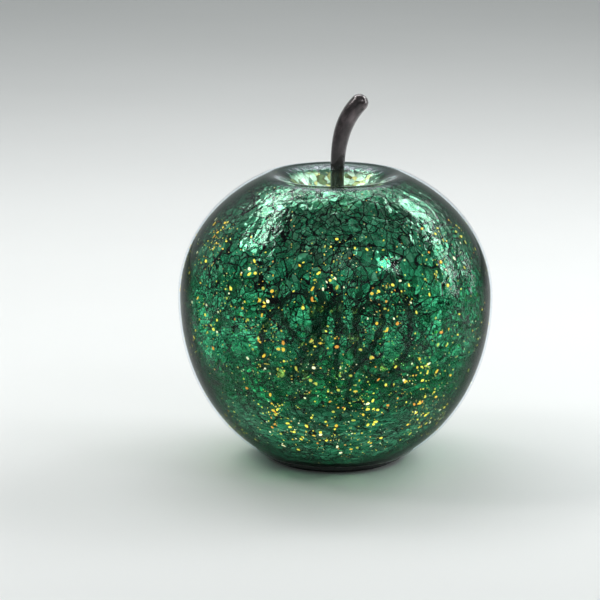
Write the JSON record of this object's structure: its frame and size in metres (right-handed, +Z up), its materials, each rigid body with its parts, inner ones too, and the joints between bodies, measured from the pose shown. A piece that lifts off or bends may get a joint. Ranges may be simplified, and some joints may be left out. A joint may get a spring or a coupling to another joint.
{
  "type": "lit glass apple ornament",
  "caption": "Hollow crackle-glass apple with a bent metal stem, a looped light string inside, and a battery housing with door and slide switch in its foot.",
  "frame": {"origin": "centre of the foot ring's bottom face, on the surface that the apple stands on", "axes": "+Z up along the apple's axis; +X the way the stem bends; -Y the side that faces the viewer"},
  "size_m": [0.16, 0.16, 0.1879],
  "materials": {
    "crackle_glass": "crackled inside, smooth clear skin outside",
    "dark_metal": "dark satin lacquer on metal",
    "clear_adhesive": "clear, glossy",
    "seal_rubber": "matt",
    "black_plastic": "fine moulded grain",
    "black_rubber": "matt",
    "plated_steel": "nickel plated",
    "grey_plastic": "satin",
    "board_lacquer": "solder lacquer",
    "chip_resin": "moulded resin",
    "cell_jacket": "printed sleeve without lettering",
    "red_wire": "smooth sleeve",
    "black_wire": "smooth sleeve",
    "cable_sheath": "smooth dark sleeve",
    "lamp_resin": "clear warm resin"
  },
  "bodies": {
    "apple": {"glass_shell": "crackle_glass", "stem": "dark_metal", "stem_adhesive": "clear_adhesive", "base_seal": "seal_rubber", "base_housing": "black_plastic", "foot_ring": "black_rubber", "housing_cap": "black_plastic", "cable_grommet": "black_rubber", "cap_screw_1": "plated_steel", "cap_screw_2": "plated_steel", "cap_screw_3": "plated_steel", "cap_screw_4": "plated_steel", "switch_body": "plated_steel", "circuit_board": "board_lacquer", "timer_chip": "chip_resin", "battery_1": "cell_jacket", "cell_spring_1": "plated_steel", "battery_2": "cell_jacket", "cell_spring_2": "plated_steel", "battery_3": "cell_jacket", "cell_spring_3": "plated_steel", "bridge_plate_right": "plated_steel", "bridge_plate_left": "plated_steel", "plus_plate": "plated_steel", "minus_plate": "plated_steel", "lead_red": "red_wire", "lead_black": "black_wire", "led_cable": "cable_sheath", "led_01": "lamp_resin", "led_02": "lamp_resin", "led_03": "lamp_resin", "led_04": "lamp_resin", "led_05": "lamp_resin", "led_06": "lamp_resin", "led_07": "lamp_resin", "led_08": "lamp_resin", "led_09": "lamp_resin", "led_10": "lamp_resin", "led_11": "lamp_resin", "led_12": "lamp_resin", "led_13": "lamp_resin", "led_14": "lamp_resin", "led_15": "lamp_resin", "led_16": "lamp_resin", "led_17": "lamp_resin", "led_18": "lamp_resin"},
    "door": {"battery_door": "black_plastic"},
    "slider": {"switch_slider": "grey_plastic"}
  },
  "joints": [
    {"name": "door_hinge", "type": "hinge", "parent": "apple", "child": "door", "pos_m": [-0.02395, 0, 0.00245], "axis": [0, 1, 0], "range_deg": [0, 75]},
    {"name": "switch_slide", "type": "slide", "parent": "apple", "child": "slider", "axis": [1, 0, 0], "range_m": [0, 0.004]}
  ]
}
